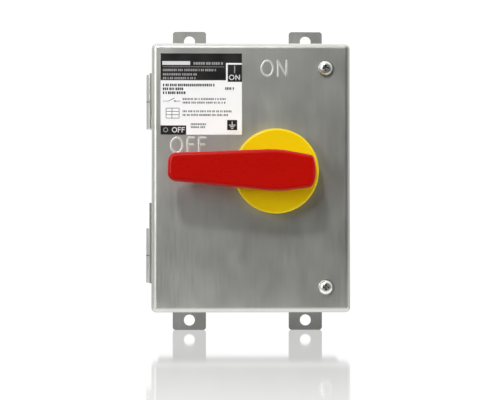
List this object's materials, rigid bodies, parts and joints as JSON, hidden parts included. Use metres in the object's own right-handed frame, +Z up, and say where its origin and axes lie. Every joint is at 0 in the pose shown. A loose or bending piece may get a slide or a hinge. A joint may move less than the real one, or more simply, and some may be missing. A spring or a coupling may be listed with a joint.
{
  "type": "ac disconnect box",
  "caption": "Wall-mounted stainless steel switch box with a hinged cover, captive cover screws, mounting feet and a red pistol-grip lever on a round yellow plate that turns the switch inside.",
  "frame": {"origin": "centre of the four wall-mounting holes, on the wall's surface", "axes": "+Z up the wall, +Y into the wall, so the cover and its handle face -Y; the hinges are on the -X side"},
  "size_m": [0.1569, 0.1436, 0.2448],
  "materials": {
    "steel_box": "vertical brushed grain",
    "steel_cover": "vertical brushed grain",
    "steel_foot": "brushed",
    "hinge_steel": "satin",
    "pin_steel": "ground",
    "washer_brass": "satin",
    "zinc": "zinc plated",
    "panel_paint": "white enamel",
    "bar_brass": "extruded",
    "green_screw": "green passivated",
    "dark_moulding": "moulded thermoset",
    "grey_moulding": "moulded",
    "white_moulding": "moulded",
    "spring_steel": "tempered",
    "copper": "plain copper",
    "clear_guard": "clear polycarbonate",
    "black_rubber": "foamed",
    "label_film": "printed film",
    "yellow_plastic": "satin moulded",
    "black_plastic": "glass-filled",
    "red_plastic": "satin moulded",
    "slide_steel": "stamped",
    "bright_steel": "polished"
  },
  "bodies": {
    "enclosure": {"enclosure_body": "steel_box", "foot_top_left": "steel_foot", "foot_top_right": "steel_foot", "foot_bottom_left": "steel_foot", "foot_bottom_right": "steel_foot", "hinge_body_leaf_upper": "hinge_steel", "hinge_body_leaf_lower": "hinge_steel", "hinge_pins": "pin_steel", "hinge_washers": "washer_brass", "screw_brackets": "steel_box", "bracket_nuts": "zinc", "mounting_panel": "panel_paint", "panel_studs": "zinc", "panel_nuts": "zinc", "earth_bar": "bar_brass", "earth_screws": "green_screw", "switch_base": "dark_moulding", "switch_housing": "grey_moulding", "switch_head": "grey_moulding", "detent_springs": "spring_steel", "line_contacts": "copper", "load_contacts": "copper", "terminal_saddles": "zinc", "terminal_screws": "zinc", "phase_barriers": "dark_moulding", "line_shroud": "clear_guard", "housing_screws": "zinc", "switch_mounting_screws": "zinc"},
    "door": {"cover": "steel_cover", "cover_gasket": "black_rubber", "rating_label": "label_film", "hinge_cover_leaf_upper": "hinge_steel", "hinge_cover_leaf_lower": "hinge_steel", "handle_plate": "yellow_plastic", "handle_gasket": "black_rubber", "handle_ring_nut": "black_plastic", "interlock_plate": "zinc", "cover_washer_upper": "bright_steel", "cover_washer_lower": "bright_steel"},
    "handle": {"lever": "red_plastic", "drive_hub": "black_plastic", "hub_clip": "spring_steel", "hub_seal": "black_rubber", "lever_screw": "zinc"},
    "lock": {"lock_slide": "slide_steel"},
    "centre_rotor": {"rotor_centre": "white_moulding", "blade_centre": "copper", "switch_shaft": "zinc", "shaft_pin": "pin_steel"},
    "left_rotor": {"rotor_left": "white_moulding", "blade_left": "copper"},
    "right_rotor": {"rotor_right": "white_moulding", "blade_right": "copper"},
    "linkage": {"slide_bar": "white_moulding"},
    "upper_retainer": {"screw_retainer_upper": "spring_steel"},
    "upper_screw": {"cover_screw_upper": "bright_steel"},
    "lower_retainer": {"screw_retainer_lower": "spring_steel"},
    "lower_screw": {"cover_screw_lower": "bright_steel"}
  },
  "joints": [
    {"name": "cover_hinge", "type": "hinge", "parent": "enclosure", "child": "door", "pos_m": [-0.0772, -0.082, 0], "axis": [0, 0, -1], "range_deg": [0, 180]},
    {"name": "handle_turn", "type": "hinge", "parent": "door", "child": "handle", "pos_m": [0.0187, -0.13, 0.0047], "axis": [0, 1, 0], "range_deg": [0, 90]},
    {"name": "lock_pull", "type": "slide", "parent": "handle", "child": "lock", "axis": [-0.0314, 0, -0.9995], "range_m": [0, 0.012]},
    {"name": "centre_turn", "type": "hinge", "parent": "enclosure", "child": "centre_rotor", "pos_m": [0.0187, -0.05, 0.0047], "axis": [0, 1, 0], "range_deg": [0, 90], "deforming": ["detent_springs"]},
    {"name": "left_turn", "type": "hinge", "parent": "enclosure", "child": "left_rotor", "pos_m": [-0.0033, -0.04, 0.0047], "axis": [0, 1, 0], "range_deg": [0, 90]},
    {"name": "right_turn", "type": "hinge", "parent": "enclosure", "child": "right_rotor", "pos_m": [0.0407, -0.04, 0.0047], "axis": [0, 1, 0], "range_deg": [0, 90]},
    {"name": "bar_shift", "type": "slide", "parent": "enclosure", "child": "linkage", "axis": [1, 0, 0], "range_m": [0, 0.0128]},
    {"name": "upper_screw_travel", "type": "slide", "parent": "door", "child": "upper_retainer", "axis": [0, -1, 0], "range_m": [0, 0.007]},
    {"name": "upper_screw_turn", "type": "hinge", "parent": "upper_retainer", "child": "upper_screw", "pos_m": [0.057, -0.1, 0.0838], "axis": [0, -1, 0], "range_deg": [0, 2530]},
    {"name": "lower_screw_travel", "type": "slide", "parent": "door", "child": "lower_retainer", "axis": [0, -1, 0], "range_m": [0, 0.007]},
    {"name": "lower_screw_turn", "type": "hinge", "parent": "lower_retainer", "child": "lower_screw", "pos_m": [0.057, -0.1, -0.0838], "axis": [0, -1, 0], "range_deg": [0, 2530]}
  ],
  "couplings": [
    {"joint": "centre_turn", "follows": "handle_turn", "ratio": 1},
    {"joint": "left_turn", "follows": "handle_turn", "ratio": 1},
    {"joint": "right_turn", "follows": "handle_turn", "ratio": 1},
    {"joint": "bar_shift", "follows": "handle_turn", "m_per_rad": 0.0081028},
    {"joint": "upper_screw_turn", "follows": "upper_screw_travel", "rad_per_m": 6283.2},
    {"joint": "lower_screw_turn", "follows": "lower_screw_travel", "rad_per_m": 6283.2}
  ]
}
